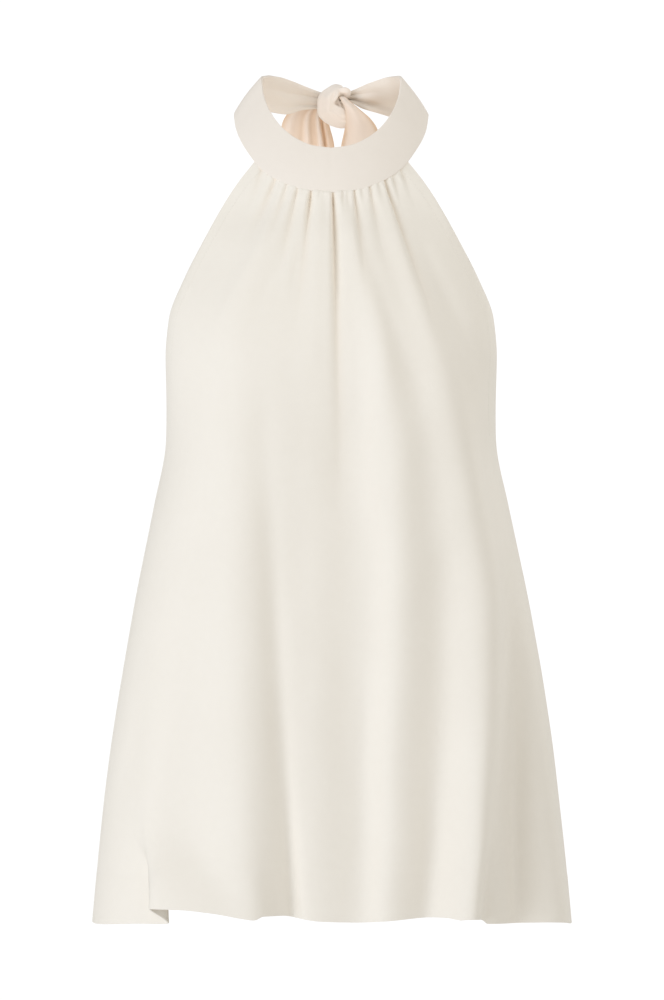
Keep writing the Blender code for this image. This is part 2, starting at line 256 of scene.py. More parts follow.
# The rows and columns of the sheets.
FRONT_GRID = {"columns": 236, "armhole_rows": 64, "side_rows": 96}
BACK_GRID = {"columns": 200, "rows": 120}
BAND_GRID = {"columns": 280, "rows": 30}
TIE_GRID = {"columns": 72, "rows": 120}

# How far inside the fold of a hem its row of stitches runs, and the gap between two stitches as
# a share of a stitch.
EDGE_STITCH_INSET = 1.2
HEM_STITCH_INSET = 3.0
STITCH_GAP = 0.3

# Soft creases, given one by one: each runs from (x, z) to (end_x, end_z). A rise over 0 is a ridge
# and one under 0 is a trough.
Crease = namedtuple("Crease", "x z end_x end_z half rise")
FRONT_CREASES = table(
    Crease,
    (-34, -86, -100, -205, 8, 1.5), (-26, -96, -66, -190, 6, -0.9), (22, -96, 70, -225, 8, 1.3),
    (62, -96, 128, -235, 7, -1.2), (3, -92, 6.5, -175, 4, -2), (-23, -98, -32, -165, 4.5, -1.6),
    (-56, -260, -23.5, -880, 10.5, -4), (-37, -560, -18.5, -900, 6, -3.6),
    (128, -360, 131, -900, 10, 5), (150, -380, 160, -900, 9, -7), (14, -150, 10, -655, 38, -6.5),
    (-8, -170, -12, -450, 38, -3.8), (40, -180, 37, -360, 12, 2.2),
    (134, -200, 138, -360, 16, -3.5), (85, -560, 75, -900, 9, -2.2),
    (-128, -160, -60, -300, 14, -0.8), (118, -300, 66, -420, 12, 0.7),
    (-178, -610, -150, -480, 8, -0.9), (30, -470, 24, -640, 8, -0.7),
)
BACK_CREASES = table(
    Crease,
    (-96, -290, -128, -900, 15, 3), (-72, -300, -98, -900, 10, -2.6),
    (-24, -320, -36, -900, 11, -2.8), (4, -300, -2, -880, 13, 2.4), (34, -330, 32, -900, 11, -2.6),
    (78, -300, 98, -900, 12, -3), (112, -300, 138, -880, 12, 2.2),
    (-120, -320, -60, -430, 14, -1.4), (118, -330, 66, -470, 13, -1.3),
    (-20, -330, -40, -520, 9, 1.1), (50, -460, 40, -640, 8, -1.2),
    (-160, -480, -166, -860, 10, -2.2), (160, -450, 172, -860, 10, -2),
)

# A tie end at heights below the knot: the x of its edges, its y and the depth of its pleats. It
# has so many pleats from a phase on, it curls as it hangs, its end is cut on a slant and its left
# edge is tucked back, with shade painted on the tuck. Its painted shade is how much shade is
# painted on it, as if it lay deep in the neck, and its painted edge shade how much more is painted
# along its right edge.
TieStation = namedtuple("TieStation", "z left right y pleat")
Tie = namedtuple("Tie", "stations pleats phase curl slant tuck shade rim")
TIES = {
    "left": Tie(
        table(
            TieStation,
            (8, -17, -7, 62, 0.3), (3, -31, -5, 63, 0.8), (-2.5, -39, -4, 65, 1.1),
            (-10.5, -42.8, -2, 67, 1.5), (-31, -46, 2.3, 71, 1.8), (-90, -49, 0.5, 80, 1.4),
            (-165, -51, -1.5, 87, 1), (-246, -50, -3, 91, 0.8),
        ),
        pleats=3.6, phase=0.9, curl=3.2, slant=5, tuck=0, shade=0.5, rim=0,
    ),
    "right": Tie(
        table(
            TieStation,
            (12, 6.5, 11.5, 49, 0.2), (7, 9, 17, 45.5, 0.8), (0.4, 12, 24.6, 43.5, 1.4),
            (-7.5, 12.6, 33.8, 45.5, 2.2), (-15.5, 11.5, 39.5, 50, 2.8), (-31, 8.2, 44, 58.5, 3),
            (-90, 4.5, 50, 76, 2.2), (-165, 3, 52, 86, 1.5), (-262, 2.5, 50, 92, 1.1),
        ),
        pleats=0.95, phase=0.9, curl=-3.6, slant=-6, tuck=7, shade=0.17, rim=0.6,
    ),
}

# The knot's wraps: each is a soft roll of cloth through points, half so wide and so deep there.
Wrap = namedtuple("Wrap", "x y z wide deep")
KNOT_MIDDLE = Vector((3, 61, 5))
KNOT_WRAPS = {
    "core": table(Wrap, (-3, 62, 2, 7, 6), (3, 62, 5, 8.5, 7.5), (8, 62, 6, 7, 6)),
    "over": table(
        Wrap,
        (7, 69, 12, 6, 4), (5.5, 60.5, 20, 5, 4), (1.2, 52, 16.2, 6.5, 4.5),
        (-5, 48.5, 8.5, 8.3, 5), (-5, 48.5, 0, 8.5, 5), (1.5, 49.5, -6.5, 8, 5),
        (10, 53, -9.5, 6.5, 5), (15, 60, -9, 5, 4),
    ),
    "heart": table(
        Wrap,
        (-5, 52, 1, 6.5, 4), (2, 49, -2.5, 7.5, 5), (9, 50.5, -5.5, 7, 4.5), (13, 56, -7, 5, 4),
    ),
    "edge": table(
        Wrap,
        (6, 58, 22, 1.8, 1.5), (5.2, 50.5, 18, 2, 1.7), (4.4, 46.5, 13, 2.1, 1.8),
        (1.5, 45.2, 8, 2.1, 1.8), (-2.5, 45, 4, 1.8, 1.5),
    ),
    "loop": table(
        Wrap,
        (5, 55, 14.5, 3, 2.8), (8, 51.5, 17, 3.2, 3), (12.3, 52, 17.2, 3.5, 3.1),
        (14.8, 57, 13.5, 3.8, 3.6),
    ),
    "nape": table(
        Wrap,
        (-12, 65, 5, 8, 4), (-5, 71, 7, 9, 4.5), (4, 72, 6, 9, 4.5), (12, 66, 3, 7, 4),
    ),
}

# The flutes round each wrap, and how finely and how softly the wraps are fused.
WRAP_FLUTES = 5
FLUTE_DEPTH = 0.07
KNOT_VOXEL = 0.6
SOFTENINGS = 3

# The crepe's grain, the slubs in its thread, its slow changes of tone, and its thread spacing.
GRAIN_SIZE = 0.9
SLUB_SIZE = 7
CLOUD_SIZE = 70
THREAD_PITCH = 0.55

# The lamps, in metres: where each hangs, how wide it is, whether it points at the knot or at the
# middle of the top, its colour, and whether the camera sees it.
Lamp = namedtuple("Lamp", "place size at_knot colour seen", defaults=[False, (1, 1, 1), True])
LAMPS = {
    "key": Lamp((-3.3, -3.0, -0.3), 3.4, False, (0.858, 0.908, 1)),
    "fill": Lamp((2.6, -1.2, 0.9), 1.6),
    "back": Lamp((2.6, 2.2, 0.6), 1.4),
    "neck": Lamp((0.3, -0.58, 0.45), 0.35, True),
    "glow": Lamp((0.0, -0.04, -0.065), 0.05, True, (1, 0.84, 0.72), False),
}
ROOM_COLOUR = (0.961, 0.952, 0.914, 1)
BACKDROP = ((1, 1, 1, 1), 1.05)

# The floor's side and the camera's place beside and below the neck, in metres, and the width of
# its film in millimetres.
FLOOR_SIDE = 4.4
CAMERA_X = 0.0006
CAMERA_Z = -0.33575
FILM_WIDTH = 36


def a_length(name, description, default, least, most):
    """A length for the sidebar, given in millimetres."""
    low, high = least * MM, most * MM
    return bpy.props.FloatProperty(
        name=name, description=description, default=default * MM, min=low, max=high, unit="LENGTH"
    )


def a_colour(name, description, default):
    """A colour for the sidebar."""
    return bpy.props.FloatVectorProperty(
        name=name, description=description, default=default, min=0, max=1, subtype="COLOR"
    )


def a_power(name, description, default):
    """The power of a light for the sidebar, in watts."""
    return bpy.props.FloatProperty(
        name=name, description=description, default=default, min=0, unit="POWER"
    )


class ClothSettings(bpy.types.PropertyGroup):
    """What the cloth is and how it is sewn."""

    wall: a_length("Cloth Thickness", "Thickness of one layer of the body cloth", 0.7, 0.2, 1.2)
    band_wall: a_length("Band Thickness", "Thickness of the neck band, folded double", 2.3, 1, 3)
    tie_wall: a_length("Tie Thickness", "Thickness of a tie end, folded double", 1.5, 1, 2)
    hem_depth: a_length("Hem Depth", "Height of the hem that is turned up inside", 38, 10, 60)
    edge_hem: a_length(
        "Edge Hem", "Width of the narrow hem along the armholes and the top of the back", 7, 3, 15
    )
    stitch_length: a_length("Stitch Length", "Length of one stitch", 2.4, 1, 5)
    thread_thickness: a_length("Thread Thickness", "Thickness of the thread", 0.35, 0.1, 0.8)
    body_colour: a_colour("Body Colour", "Colour of the front and the back", (0.909, 0.859, 0.779))
    # A slightly darker, warmer copy of the body colour: painted shade on the band.
    band_shaded_colour: a_colour("Band Colour", "Colour of the doubled neck band", (0.895, 0.828, 0.752))
    # A lighter copy of the body colour: painted light on the knot.
    knot_colour: a_colour("Knot Colour", "Colour of the knot", (0.98, 0.90, 0.83))
    # A warmer copy of the body colour: painted warm shade on the tie ends.
    tie_shaded_colour: a_colour("Tie Colour", "Colour of the tie ends", (0.94, 0.84, 0.76))
    thread_colour: a_colour("Thread Colour", "Colour of the sewing thread", (0.89, 0.84, 0.76))


class StudioSettings(bpy.types.PropertyGroup):
    """The room, the lights and the camera."""

    camera_distance: a_length(
        "Camera Distance", "Distance of the camera in front of the neck", 3500, 1000, 9000
    )
    view_height: a_length(
        "View Height", "Height of the part of the scene that the camera takes in", 850, 100, 3000
    )
    floor_drop: a_length("Floor Drop", "How far the floor lies below the neck", 1350, 800, 3000)
    key_power: a_power("Key Light", "Power of the key light", 102)
    fill_power: a_power("Fill Light", "Power of the fill light", 13)
    back_power: a_power("Back Light", "Power of the light on the back", 12)
    neck_power: a_power("Neck Light", "Power of the light on the neck", 0.75)
    glow_power: a_power("Inner Glow", "Power of the light from the cloth's inside", 0.022)
    room_light: bpy.props.FloatProperty(
        name="Room Light", description="Strength of the light from all round", default=0.59, min=0
    )


# Surfaces


def smooth(table_x, table_y, at):
    """A curve through a table's points that never overshoots, and stays flat past its ends."""
    order = np.argsort(table_x)
    xs, ys = np.asarray(table_x, float)[order], np.asarray(table_y, float)[order]
    at = np.clip(at, xs[0], xs[-1])
    run = np.diff(xs)
    chord = np.diff(ys) / run
    before, after = chord[:-1], chord[1:]
    same = before * after > 0
    middle = np.where(same, 2 * before * after / np.where(same, before + after, 1), 0)
    slope = np.concatenate([chord[:1], middle, chord[-1:]])
    i = np.clip(np.searchsorted(xs, at) - 1, 0, len(run) - 1)
    u = (at - xs[i]) / run[i]
    return (
        ys[i] * (2 * u**3 - 3 * u**2 + 1)
        + ys[i + 1] * (3 * u**2 - 2 * u**3)
        + run[i] * slope[i] * (u**3 - 2 * u**2 + u)
        + run[i] * slope[i + 1] * (u**3 - u**2)
    )


def column(rows, name, at):
    """One column of a table, read at places between those in the table's first column."""
    return smooth([row[0] for row in rows], [getattr(row, name) for row in rows], at)


def ramp(value, start, end):
    """0 at start, 1 at end, with soft ends."""
    u = np.clip((value - start) / (end - start), 0, 1)
    return u * u * (3 - 2 * u)


def bell(off):
    """1 at 0, and falling away softly on both sides."""
    return np.exp(-(off**2))


def normals(points):
    """Unit normals of a grid of points, on the side that faces away from the wearer."""
    out = np.cross(np.gradient(points, axis=0), np.gradient(points, axis=1))
    return out / np.maximum(np.linalg.norm(out, axis=-1, keepdims=True), 1e-9)


def folded(base, folds, extra_lift, keep):
    """A panel with its long folds: each crest stands out from it and may roll over sideways."""
    x, z = base[..., 0], base[..., 2]
    lift, roll = extra_lift, np.zeros_like(x)
    for fold in folds:
        off = x - smooth(FOLD_LEVELS, fold.x, z)
        half = smooth(FOLD_LEVELS, fold.half, z)
        fold_roll = smooth(FOLD_LEVELS, fold.roll, z)
        roll = roll + fold_roll * bell(off / half)
        off = off + ROLL_LEAD * fold_roll
        lift = lift + smooth(FOLD_LEVELS, fold.rise, z) * bell(off / half)
    points = base + normals(base) * (lift * keep)[..., None]
    points[..., 0] += roll * keep
    return points


def band_edge_z(angle, edge):
    """The height of one edge of the neck band at angles round from the centre front."""
    turn = np.degrees(np.abs(angle))
    left, right = (column(band, edge, turn) for band in (LEFT_BAND, RIGHT_BAND))
    return np.where(angle < 0, left, right)


def gather_offsets(x, z):
    """How far the gathers press each point of the front in, and puff it up beside them."""
    lift = np.zeros_like(x)
    for gather in GATHERS:
        start_z = band_edge_z(math.asin(gather.x / COLLAR_HALF_WIDTH), "lower_z")
        u = np.clip((z - start_z) / (gather.end_z - start_z), 0, 1)
        off = (x - (gather.x + (gather.end_x - gather.x) * u)) / (gather.half + GATHER_SPREAD * u)
        off = np.where(off > 0, off / GATHER_LEAN, off)
        crease = 0.5 * bell(off / 2) - np.exp(-(np.abs(off) ** 1.5))
        lift += gather.depth * crease * (1 - u) ** 1.3
    return lift


def pucker_offsets(x, z):
    """The small puckers that the seam draws up between the gathers."""
    random = np.random.default_rng(PUCKER_SEED)
    lift = np.zeros_like(x)
    reach = COLLAR_HALF_WIDTH * math.sin(SEAM_ANGLE)
    for place in np.arange(-reach + PUCKER_STEP, reach, PUCKER_STEP):
        place += random.uniform(-PUCKER_SHIFT, PUCKER_SHIFT)
        fall = random.uniform(*PUCKER_LENGTHS)
        depth = random.uniform(*PUCKER_DEPTHS)
        start_z = band_edge_z(math.asin(place / COLLAR_HALF_WIDTH), "lower_z")
        u = np.clip((start_z - z) / fall, 0, 1)
        off = (x - place * (1 + PUCKER_FAN * u)) / (PUCKER_HALF + PUCKER_SPREAD * u)
        lift -= depth * bell(off) * (1 - u) ** 1.5
    return lift


def crease_offsets(x, z, creases):
    """The soft ridges and troughs, which fade out towards both of their ends."""
    lift = np.zeros_like(x)
    for crease in creases:
        along = np.array([crease.end_x - crease.x, crease.end_z - crease.z], float)
        run = np.linalg.norm(along)
        along /= run
        u = ((x - crease.x) * along[0] + (z - crease.z) * along[1]) / run
        off = ((x - crease.x) * along[1] - (z - crease.z) * along[0]) / crease.half
        fade = ramp(u, -0.15, 0.35) * (1 - ramp(u, 0.65, 1.15))
        lift += crease.rise * fade * bell(off)
    return lift


def unevenness(x, z, seed):
    """A slow, slight waviness that no cloth is without."""
    random = np.random.default_rng(seed)
    lift = np.zeros_like(x)
    for wave in WAVE_LENGTHS:
        turn = random.uniform(-0.5, 0.5)
        phase, cross = random.uniform(0, 2 * math.pi, 2)
        across = (x * math.cos(turn) + z * math.sin(turn) * 0.35) / wave
        down = (z * math.cos(turn) - x * math.sin(turn)) / (2.2 * wave)
        height = np.sin(2 * math.pi * across + phase) * np.cos(2 * math.pi * down + cross)
        lift += WAVE_HEIGHT * wave * height
    return lift


def close_at_ends(count):
    """Shares from 0 to 1 in so many steps, which are shorter near both ends."""
    return 0.5 - 0.5 * np.cos(np.linspace(0, math.pi, count + 1))


def band_sheet(columns, rows):
    """The neck band's middle surface, from one side of the knot round the front to the other, and
    the shade painted on each point of its inside. Shade is painted on the inside of its right
    side, the more so low down, with a painted crease near the knot.
    """
    end = math.pi - math.asin(BAND_END_X / NECK_HALF_WIDTH)
    angle = np.linspace(-end, end, columns + 1)[None, :]
    down = close_at_ends(rows)[:, None]
    turn = np.degrees(angle)
    # Painted shade on the inside of the band's right side, darker low down, and a painted crease
    # near the knot.
    behind = ramp(turn, 93.5, 113) * (1 - ramp(turn, 137.8, 155.5))
    depth = behind * (0.3 * (1 - ramp(turn, 113, 133)) + 0.65 * ramp(down, 0.05, 0.5))
    off = (down - PAINTED_INNER_CREASE.share) / PAINTED_INNER_CREASE.half
    along = (turn - PAINTED_INNER_CREASE.angle) / PAINTED_INNER_CREASE.reach
    depth = depth + 1.1 * bell(off) * bell(along)
    return band_surface(angle, down), np.clip(depth, 0, 1)


def band_surface(angle, down):
    """The band's middle surface at angles round the neck and at shares of the way down it."""
    turn = np.degrees(np.abs(angle))
    behind = ramp(turn, 90, 180)
    half = NECK_HALF_WIDTH + (COLLAR_HALF_WIDTH - NECK_HALF_WIDTH) * down * (1 - behind)
    front = NECK_FRONT_DEPTH + (COLLAR_FRONT_DEPTH - NECK_FRONT_DEPTH) * down
    depth = np.where(np.cos(angle) > 0, front, NECK_BACK_DEPTH)
    upper = band_edge_z(angle, "upper_z")
    lower = band_edge_z(angle, "lower_z")
    left, right = (
        sum(pleat.depth * bell((down - pleat.share) / pleat.half) for pleat in pleats)
        for pleats in (LEFT_PLEATS, RIGHT_PLEATS)
    )
    bulge = BAND_BULGE * np.sin(math.pi * down)
    bulge = bulge + ramp(turn, 105, 165) * np.where(angle < 0, left, right)
    x = (half + bulge) * np.sin(angle)
    y = -(depth + bulge) * np.cos(angle)
    z = upper + (lower - upper) * down
    return np.stack(np.broadcast_arrays(x, y, z), axis=-1)


def seam_share(rows):
    """How far down the side seam each row lies, from 0 to 1, closer together near the hem."""
    return 1 - np.linspace(1, 0, rows + 1) ** 1.5


def hem_line(height):
    """How far the turned-up hem makes the cloth stand out, at a height above its fold."""
    edge = bpy.context.scene.halter_cloth.hem_depth / MM
    ridge = HEM_RIDGE * bell((height - edge) / HEM_RIDGE_HALF)
    return ridge + HEM_FULLNESS * (1 - ramp(height, edge - 4, edge + 2))


def front_sheet(columns, armhole_rows, side_rows):
    """The front panel from inside the band down to the hem, with its folds, and each point's
    height above the hem, distance from the panel's side edge and painted shade from its depth in
    the gathers.
    """
    s = np.linspace(-1, 1, columns + 1)[None, :]
    fall = np.linspace(0, 1, armhole_rows + 1)[:-1] ** 1.4
    armhole = SIDE_TOP_Z + (UNDERARM_Z - SIDE_TOP_Z) * fall
    seam = UNDERARM_Z + (SIDE_HEM_Z - UNDERARM_Z) * seam_share(side_rows)
    side_z = np.concatenate([armhole, seam])[:, None]
    t = (SIDE_TOP_Z - side_z) / (SIDE_TOP_Z - SIDE_HEM_Z)
    full = ramp(side_z, SIDE_TOP_Z, UNDERARM_Z)
    sweep = SEAM_ANGLE + (math.pi / 2 - SEAM_ANGLE) * full
    share = np.sin(sweep * s) / np.sin(sweep)
    x = share * column(BODY, "half", side_z)
    seam_z = band_edge_z(SEAM_ANGLE * s, "lower_z") - SEAM_DROP
    hem_z = column(FRONT_HEM, "z", share * column(BODY, "half", SIDE_HEM_Z))
    z = seam_z + (hem_z - seam_z) * t
    ring = (1 - np.sqrt(1 - (share * math.sin(SEAM_ANGLE)) ** 2)) / (1 - math.cos(SEAM_ANGLE))
    tube = 1 - np.clip(1 - np.abs(share) ** ROUNDNESS, 0, 1) ** (1 / ROUNDNESS)
    front = column(BODY, "front", z)
    edge = column(BODY, "edge", side_z) - SEAM_GAP / 2
    y = front + (edge - front) * (ring + (tube - ring) * full)
    keep = (1 - np.abs(s) ** EDGE_HOLD) * (1 - SEAM_HOLD * (1 - ramp(t, 0, 0.01)))
    drawn = gather_offsets(x, z) + pucker_offsets(x, z)
    lift = crease_offsets(x, z, FRONT_CREASES) + unevenness(x, z, seed=2) * ramp(t, 0, 0.2)
    lift = lift + drawn + hem_line(z - hem_z)
    panel = folded(np.stack([x, y, z], axis=-1), FRONT_FOLDS, lift, keep)
    tucked = band_surface(SEAM_ANGLE * s, np.full((1, 1), 1 - SEAM_TUCK))
    aside = (1 - np.abs(share)) * column(BODY, "half", side_z)
    # The third grid is painted shade, which darkens and warms the cloth deepest in the gathers.
    grids = (z - hem_z, aside, np.clip(-drawn / DEEPEST_GATHER, 0, 1) ** 1.6)
    return np.concatenate([tucked, panel]), *(np.vstack([grid[:1], grid]) for grid in grids)


def back_sheet(columns, rows):
    """The back panel from its top edge down to the hem, with its folds, and each point's height
    above the hem and depth below the top edge.
    """
    s = np.linspace(1, -1, columns + 1)[None, :]
    t = seam_share(rows)[:, None]
    share = np.sin(s * math.pi / 2)
    top_z = UNDERARM_Z - BACK_DIP * (1 - share**2)
    z = top_z + (SIDE_HEM_Z - top_z) * t
    x = share * column(BODY, "half", z)
    tube = np.clip(1 - np.abs(share) ** ROUNDNESS, 0, 1) ** (1 / ROUNDNESS)
    edge = column(BODY, "edge", z) + SEAM_GAP / 2
    y = edge + (column(BODY, "back", z) - edge) * tube
    keep = 1 - np.abs(s) ** EDGE_HOLD
    lift = crease_offsets(x, z, BACK_CREASES) + unevenness(x, z, seed=5) + hem_line(z - SIDE_HEM_Z)
    panel = folded(np.stack([x, y, z], axis=-1), BACK_FOLDS, lift, keep)
    return panel, z - SIDE_HEM_Z, top_z - z


def tie_sheet(tie, columns, rows):
    """A tie end's middle surface, pleated together at the knot and opening out as it hangs, and
    the shade painted on each point, most in its pleats and at its edges near the knot.
    """
    u = close_at_ends(columns)[None, :]
    t = (np.linspace(0, 1, rows + 1) ** 1.5)[:, None]
    z = tie.stations[0].z + (tie.stations[-1].z - tie.stations[0].z) * t
    left, right = (column(tie.stations, edge, z) for edge in ("left", "right"))
    turn = 2 * math.pi * tie.pleats * (u**1.7 + 0.04 * np.sin(7 * t)) + tie.phase
    wave = np.cos(turn) * (0.8 + 0.4 * np.cos(0.37 * turn)) + 0.3 * np.cos(1.7 * turn + 1.5 * t)
    wave = wave * (1 - 0.6 * ramp(t, 0.3, 0.9) * np.sin(math.pi * u) ** 2)
    curl = tie.curl * ramp(t, 0.15, 0.8) * np.sin(2 * math.pi * (0.62 * u - 0.55 * t) + tie.phase)
    sway = 1.8 * np.sin(2.2 * math.pi * t + tie.phase) * ramp(t, 0.1, 0.5)
    back = (1 - ramp(u, 0, 0.17)) * ramp(-z, 10, 22) * (1 - ramp(t, 0.4, 0.9))
    x = left + (right - left) * u + sway
    y = column(tie.stations, "y", z) + column(tie.stations, "pleat", z) * wave
    y = y + curl + tie.tuck * back
    z = z + tie.slant * (u - 0.5) * ramp(t, 0.5, 1)
    high = 1 - ramp(t, 0.15, 0.55)
    # Painted shade: darker where the pleats fall back and towards both edges near the knot, on the
    # tucked-back edge and along the right edge.
    depth = tie.shade * (1 + 0.6 * wave * high) * (1 + 1.2 * (2 * u - 0.9) ** 2 * high)
    depth = depth + 0.13 * tie.tuck * back + tie.rim * ramp(u, 0.84, 1) * high
    depth = np.clip(depth, 0, 1)
    return np.stack(np.broadcast_arrays(x, y, z), axis=-1), depth


def all_round(front, back):
    """Two grids as one closed round: the front's rows, the back's the other way, and the first."""
    return np.concatenate([front, back[::-1], front[:1]])


def doubled(points, thickness):
    """Both faces of a sheet that is folded double, as one closed round with soft edges.

    The sheet's first axis runs from one folded edge to the other. The second runs along the
    cloth, which lies thinner where it is drawn into the knot.
    """
    away = FOLDED_EDGE * np.abs(np.linspace(-1, 1, len(points)))
    distance = np.linalg.norm(points[len(points) // 2] - np.array(KNOT_MIDDLE), axis=-1)
    thickness = thickness * (1 - DRAWN_THINNER * (1 - ramp(distance, *DRAWN_REACH)))
    half = (1 - away[:, None] ** 6) ** (1 / 6) * thickness / 2
    out = normals(points) * half[..., None]
    out[:, [0, -1]] = 0
    return all_round(points + out, points - out)


def wrap_rings(wraps, phase):
    """Rings round one wrap of the knot, closed to a point at both of its ends."""
    along = np.linspace(0, len(wraps) - 1, 9 * len(wraps))
    *middle, wide, deep = (smooth(range(len(wraps)), each, along) for each in zip(*wraps))
    middle = np.stack(middle, -1)
    tangent = np.gradient(middle, axis=0)
    tangent /= np.linalg.norm(tangent, axis=-1, keepdims=True)
    out = middle - np.array(KNOT_MIDDLE)
    out -= tangent * (out * tangent).sum(-1, keepdims=True)
    out /= np.linalg.norm(out, axis=-1, keepdims=True)
    across = np.cross(tangent, out)
    share = np.linspace(-1, 1, len(along))[:, None]
    round_end = np.sqrt(np.clip(1 - np.abs(share) ** 8, 0, 1))
    angle = np.linspace(0, 2 * math.pi, 41)
    flutes = np.cos(WRAP_FLUTES * angle + phase)[None, :] * (0.5 + round_end / 2)
    size = (1 + FLUTE_DEPTH * flutes) * round_end
    aside = across[:, None] * (wide[:, None] * np.cos(angle) * size)[..., None]
    away = out[:, None] * (deep[:, None] * np.sin(angle) * size)[..., None]
    return middle[:, None] + aside + away


# Meshes


def added(add, **settings):
    """A new object, with nothing else selected."""
    bpy.ops.object.select_all(action="DESELECT")
    add(**settings)
    return bpy.context.object


def apply_modifiers(piece):
    bpy.context.view_layer.objects.active = piece
    for modifier in list(piece.modifiers):
        bpy.ops.object.modifier_apply(modifier=modifier.name)


def laid_sheet(name, points, finish, walls=None, depth=None):
    """A grid primitive whose points are laid on a surface. With walls it gets that thickness
    inward from each point, and without them it closes on itself. The depth, from 0 to 1, is how
    much shade is painted on each point.
    """
    rows, columns = points.shape[0] - 1, points.shape[1] - 1
    grid_add = bpy.ops.mesh.primitive_grid_add
    sheet = added(grid_add, x_subdivisions=columns, y_subdivisions=rows, size=2)
    mesh = sheet.data
    sheet.name = mesh.name = name
    flat = np.empty(len(mesh.vertices) * 3)
    mesh.vertices.foreach_get("co", flat)
    flat = flat.reshape(-1, 3)
    column_of = np.rint((flat[:, 0] + 1) / 2 * columns).astype(int)
    row_of = np.rint((1 - flat[:, 1]) / 2 * rows).astype(int)
    mesh.vertices.foreach_set("co", (points[row_of, column_of] * MM).ravel())
    lay_threads(mesh, points, row_of, column_of)
    if depth is not None:
        # Painted shade: this attribute darkens and warms the cloth's colour by so much at each
        # point.
        deep = mesh.attributes.new("Depth", "FLOAT", "POINT")
        deep.data.foreach_set("value", depth[row_of, column_of])
    mesh.materials.append(finish)
    if walls is None:
        close_round(sheet)
    else:
        give_wall(sheet, walls[row_of, column_of])
    mesh.update()
    bpy.ops.object.shade_smooth()
    return sheet


def lay_threads(mesh, points, row_of, column_of):
    """A UV map that runs along the cloth's threads, in metres."""
    across = np.linalg.norm(np.diff(points, axis=1), axis=-1)
    down = np.linalg.norm(np.diff(points, axis=0), axis=-1)
    u = np.insert(np.cumsum(across, axis=1), 0, 0, axis=1) * MM
    v = np.insert(np.cumsum(down, axis=0), 0, 0, axis=0) * MM
    corners = np.empty(len(mesh.loops), int)
    mesh.loops.foreach_get("vertex_index", corners)
    threads = np.stack([u[row_of, column_of][corners], v[row_of, column_of][corners]], -1)
    layer = mesh.uv_layers[0]
    layer.name = "Threads"
    layer.data.foreach_set("uv", threads.ravel())


def close_round(sheet):
    """Joins the borders that lie on each other."""
    bpy.context.view_layer.objects.active = sheet
    bpy.ops.object.mode_set(mode="EDIT")
    bpy.ops.mesh.select_all(action="SELECT")
    bpy.ops.mesh.remove_doubles(threshold=JOIN_DISTANCE * MM)
    bpy.ops.object.mode_set(mode="OBJECT")


def give_wall(sheet, walls):
    """Thickens a sheet inward by each point's own wall, and softens its cut edges."""
    most = walls.max()
    group = sheet.vertex_groups.new(name="Wall")
    for index, wall in enumerate(walls / most):
        group.add([index], wall, "REPLACE")
    solidify = sheet.modifiers.new("Wall", "SOLIDIFY")
    solidify.thickness = most * MM
    solidify.offset = -1
    solidify.vertex_group = group.name
    bevel = sheet.modifiers.new("Soft edge", "BEVEL")
    bevel.width = EDGE_ROUND * MM
    bevel.segments = 2
    bevel.limit_method = "ANGLE"
    bevel.angle_limit = math.radians(60)
    apply_modifiers(sheet)
    sheet.vertex_groups.clear()


def upward(*grids):
    """The grids of a sheet turned so that each row runs up from the hem."""
    return (grid[::-1].swapaxes(0, 1) for grid in grids)


def between(place, places, points):
    """The point of a line at a place between those of its own points."""
    return np.array([np.interp(place, places, axis) for axis in points.T])


def stitch_line(target, lift, distance, points, out):
    """A line of stitches where each row of a sheet reaches a distance, which grows along the row.
    It lies so far off the sheet's middle surface, and has that surface's normals.
    """
    grids = (points, out)
    line, away = (
        np.array([between(target, *row) for row in zip(distance, grid)]) for grid in grids
    )
    return line + lift * away, away


def one_stitch(length, thickness):
    """The points and faces of one stitch: a short bead of thread along X."""
    bead = added(bpy.ops.mesh.primitive_uv_sphere_add, segments=6, ring_count=4, radius=1)
    bpy.ops.object.mode_set(mode="EDIT")
    bpy.ops.mesh.select_all(action="SELECT")
    bpy.ops.transform.resize(value=(thickness / 2, thickness / 2, length / 2))
    bpy.ops.object.mode_set(mode="OBJECT")
    points = np.array([(v.co.z, v.co.x, v.co.y) for v in bead.data.vertices])
    faces = [tuple(face.vertices) for face in bead.data.polygons]
    bpy.data.meshes.remove(bead.data)
    return points, faces


def stitch_rows(name, lines, length, gap, thickness, finish):
    """Rows of stitches along lines, each given as its points and its outward normals."""
    bead, faces = one_stitch(length, thickness)
    points, polygons = [], []
    for line, out in lines:
        step = np.linalg.norm(np.diff(line, axis=0), axis=-1)
        travel = np.insert(np.cumsum(step), 0, 0)
        for start in np.arange(gap, travel[-1] - length, length + gap):
            first, last = (between(place, travel, line) for place in (start, start + length))
            along = (last - first) / np.linalg.norm(last - first)
            side = np.cross(between(start, travel, out), along)
            side /= np.linalg.norm(side)
            turn = np.stack([along, side, np.cross(along, side)])
            polygons += [tuple(i + len(points) * len(bead) for i in face) for face in faces]
            points.append(bead @ turn + (first + last) / 2)
    mesh = bpy.data.meshes.new(name)
    mesh.from_pydata((np.concatenate(points) * MM).tolist(), [], polygons)
    mesh.materials.append(finish)
    mesh.shade_smooth()
    stitches = bpy.data.objects.new(name, mesh)
    bpy.context.scene.collection.objects.link(stitches)
    return stitches


# Finishes


class Number:
    """A number that varies over a finish, with sums written as Python expressions."""

    def __init__(self, finish, socket):
        self.finish = finish
        self.socket = socket

    def math(self, operation, *others):
        values = dict(enumerate((self, *others)))
        return self.finish.node("ShaderNodeMath", {"operation": operation}, values)

    def __add__(self, other):
        return self.math("ADD", other)

    def __mul__(self, other):
        return self.math("MULTIPLY", other)

    __radd__ = __add__
    __rmul__ = __mul__

    def sine(self):
        return self.math("SINE")


